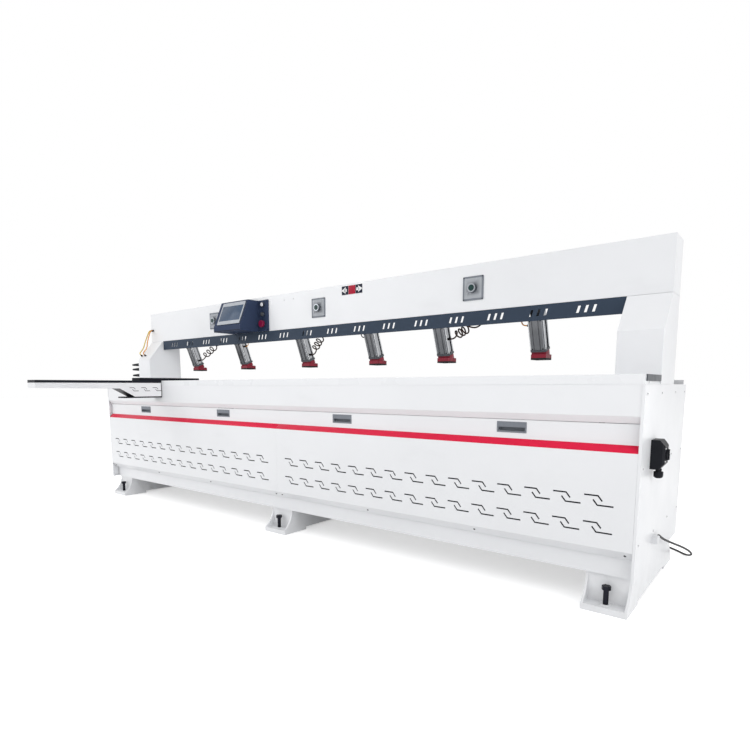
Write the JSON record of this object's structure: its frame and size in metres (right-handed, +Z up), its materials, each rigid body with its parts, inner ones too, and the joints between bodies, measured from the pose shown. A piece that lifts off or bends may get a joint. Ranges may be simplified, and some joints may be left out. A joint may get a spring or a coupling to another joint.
{
  "type": "side hole drilling machine",
  "caption": "Floor-standing woodworking drill: long table on feet, beam with tilted clamps, sloped console, front support arm and a drill carriage that travels behind the table.",
  "frame": {"origin": "on the floor under the middle foot, halfway between the front and the back of the feet", "axes": "+X along the table to the operator's right, +Y from the operator to the back, +Z up"},
  "size_m": [4.0942, 1.9792, 1.455],
  "materials": {
    "white_paint": "semi-gloss white powder coat",
    "red_paint": "gloss red enamel",
    "slate_paint": "matt slate powder coat",
    "black_paint": "matt black powder coat",
    "grey_plastic": "fine matt grey",
    "black_plastic": "matt black",
    "silver_plastic": "satin silver",
    "laminate": "white laminate",
    "aluminium": "anodised extrusion",
    "steel": "ground",
    "black_steel": "black oxide",
    "chrome": "polished",
    "hose": "black polyurethane hose",
    "orange_hose": "orange polyurethane hose",
    "cable": "black cable sheath",
    "rubber": "matt black rubber",
    "green_button": "gloss green",
    "white_button": "gloss white",
    "red_button": "gloss red"
  },
  "bodies": {
    "frame": {"foot_left": "white_paint", "foot_middle": "white_paint", "foot_right": "white_paint", "levelling_bolts": "black_steel", "base_frame": "white_paint", "front_skirt": "white_paint", "front_panel_left": "white_paint", "front_panel_right": "white_paint", "panel_pulls": "grey_plastic", "fascia": "white_paint", "table_slab": "laminate", "table_end_caps": "grey_plastic", "end_panel_left": "white_paint", "end_panel_right": "white_paint", "rear_panels": "white_paint", "column_left": "white_paint", "column_right": "white_paint", "beam": "white_paint", "beam_cover": "white_paint", "beam_strip": "slate_paint", "clamp_barrels": "aluminium", "curly_hoses": "hose", "console_housing": "black_paint", "touch_screen": "silver_plastic", "station_plates": "white_paint", "button_bezels": "chrome", "support_arm": "white_paint", "arm_top": "black_plastic", "side_stop": "black_paint", "hose_glands": "black_plastic", "link_hoses": "orange_hose", "isolator_box": "black_plastic", "cable_gland": "grey_plastic", "mains_cable": "cable", "mains_coil": "cable", "mains_plug": "rubber", "x_rails": "steel", "screw_bearings": "aluminium", "drive_motor": "black_paint"},
    "carriage": {"carriage": "aluminium"},
    "screw": {"drive_screw": "steel"},
    "lift": {"lift_shelf": "aluminium"},
    "feed": {"feed_slide": "aluminium", "spindle_motor": "white_paint"},
    "spindle": {"drill_chuck": "steel", "drill_bit": "steel"},
    "start_button": {"start_button": "white_button"},
    "key_selector": {"key_selector": "black_plastic"},
    "estop_button": {"estop_button": "red_button"},
    "station_button_left": {"station_button_left": "green_button"},
    "station_button_middle": {"station_button_middle": "green_button"},
    "station_button_right": {"station_button_right": "green_button"},
    "isolator_knob": {"isolator_knob": "black_plastic"},
    "clamp_1": {"clamp_1_shoe": "red_paint"},
    "clamp_2": {"clamp_2_shoe": "red_paint"},
    "clamp_3": {"clamp_3_shoe": "red_paint"},
    "clamp_4": {"clamp_4_shoe": "red_paint"},
    "clamp_5": {"clamp_5_shoe": "red_paint"},
    "clamp_6": {"clamp_6_shoe": "red_paint"}
  },
  "joints": [
    {"name": "clamp_1_stroke", "type": "slide", "parent": "frame", "child": "clamp_1", "axis": [0, 0.3486, -0.9373], "range_m": [0, 0.085], "stiffness_N_per_m": 400, "springref_m": -0.08},
    {"name": "clamp_2_stroke", "type": "slide", "parent": "frame", "child": "clamp_2", "axis": [0, 0.3486, -0.9373], "range_m": [0, 0.085], "stiffness_N_per_m": 400, "springref_m": -0.08},
    {"name": "clamp_3_stroke", "type": "slide", "parent": "frame", "child": "clamp_3", "axis": [0, 0.3486, -0.9373], "range_m": [0, 0.085], "stiffness_N_per_m": 400, "springref_m": -0.08},
    {"name": "clamp_4_stroke", "type": "slide", "parent": "frame", "child": "clamp_4", "axis": [0, 0.3486, -0.9373], "range_m": [0, 0.085], "stiffness_N_per_m": 400, "springref_m": -0.08},
    {"name": "clamp_5_stroke", "type": "slide", "parent": "frame", "child": "clamp_5", "axis": [0, 0.3486, -0.9373], "range_m": [0, 0.085], "stiffness_N_per_m": 400, "springref_m": -0.08},
    {"name": "clamp_6_stroke", "type": "slide", "parent": "frame", "child": "clamp_6", "axis": [0, 0.3486, -0.9373], "range_m": [0, 0.085], "stiffness_N_per_m": 400, "springref_m": -0.08},
    {"name": "carriage_travel", "type": "slide", "parent": "frame", "child": "carriage", "axis": [-1, 0, 0], "range_m": [0, 2.88]},
    {"name": "screw_turn", "type": "hinge", "parent": "frame", "child": "screw", "pos_m": [0, 0.26, 0.6525], "axis": [1, 0, 0], "continuous": true},
    {"name": "drill_lift", "type": "slide", "parent": "carriage", "child": "lift", "axis": [0, 0, 1], "range_m": [0, 0.04]},
    {"name": "drill_feed", "type": "slide", "parent": "lift", "child": "feed", "axis": [0, -1, 0], "range_m": [0, 0.076]},
    {"name": "spindle_turn", "type": "hinge", "parent": "feed", "child": "spindle", "pos_m": [1.74, 0.22, 0.912], "axis": [0, 1, 0], "continuous": true},
    {"name": "start_button_press", "type": "slide", "parent": "frame", "child": "start_button", "axis": [0, 1, 0], "range_m": [0, 0.004], "stiffness_N_per_m": 400, "springref_m": -0.002},
    {"name": "station_button_left_press", "type": "slide", "parent": "frame", "child": "station_button_left", "axis": [0, 1, 0], "range_m": [0, 0.004], "stiffness_N_per_m": 400, "springref_m": -0.002},
    {"name": "station_button_middle_press", "type": "slide", "parent": "frame", "child": "station_button_middle", "axis": [0, 1, 0], "range_m": [0, 0.004], "stiffness_N_per_m": 400, "springref_m": -0.002},
    {"name": "station_button_right_press", "type": "slide", "parent": "frame", "child": "station_button_right", "axis": [0, 1, 0], "range_m": [0, 0.004], "stiffness_N_per_m": 400, "springref_m": -0.002},
    {"name": "estop_press", "type": "slide", "parent": "frame", "child": "estop_button", "axis": [0, 1, 0], "range_m": [0, 0.005], "stiffness_N_per_m": 600, "springref_m": -0.002},
    {"name": "key_turn", "type": "hinge", "parent": "frame", "child": "key_selector", "pos_m": [-0.508, -0.055, 1.34], "axis": [0, -1, 0], "range_deg": [-90, 0]},
    {"name": "isolator_turn", "type": "hinge", "parent": "frame", "child": "isolator_knob", "pos_m": [1.994, -0.245, 0.602], "axis": [1, 0, 0], "range_deg": [-90, 0]}
  ],
  "couplings": [
    {"joint": "clamp_2_stroke", "follows": "clamp_1_stroke", "ratio": 1},
    {"joint": "clamp_3_stroke", "follows": "clamp_1_stroke", "ratio": 1},
    {"joint": "clamp_4_stroke", "follows": "clamp_1_stroke", "ratio": 1},
    {"joint": "clamp_5_stroke", "follows": "clamp_1_stroke", "ratio": 1},
    {"joint": "clamp_6_stroke", "follows": "clamp_1_stroke", "ratio": 1},
    {"joint": "screw_turn", "follows": "carriage_travel", "rad_per_m": 125.66}
  ]
}
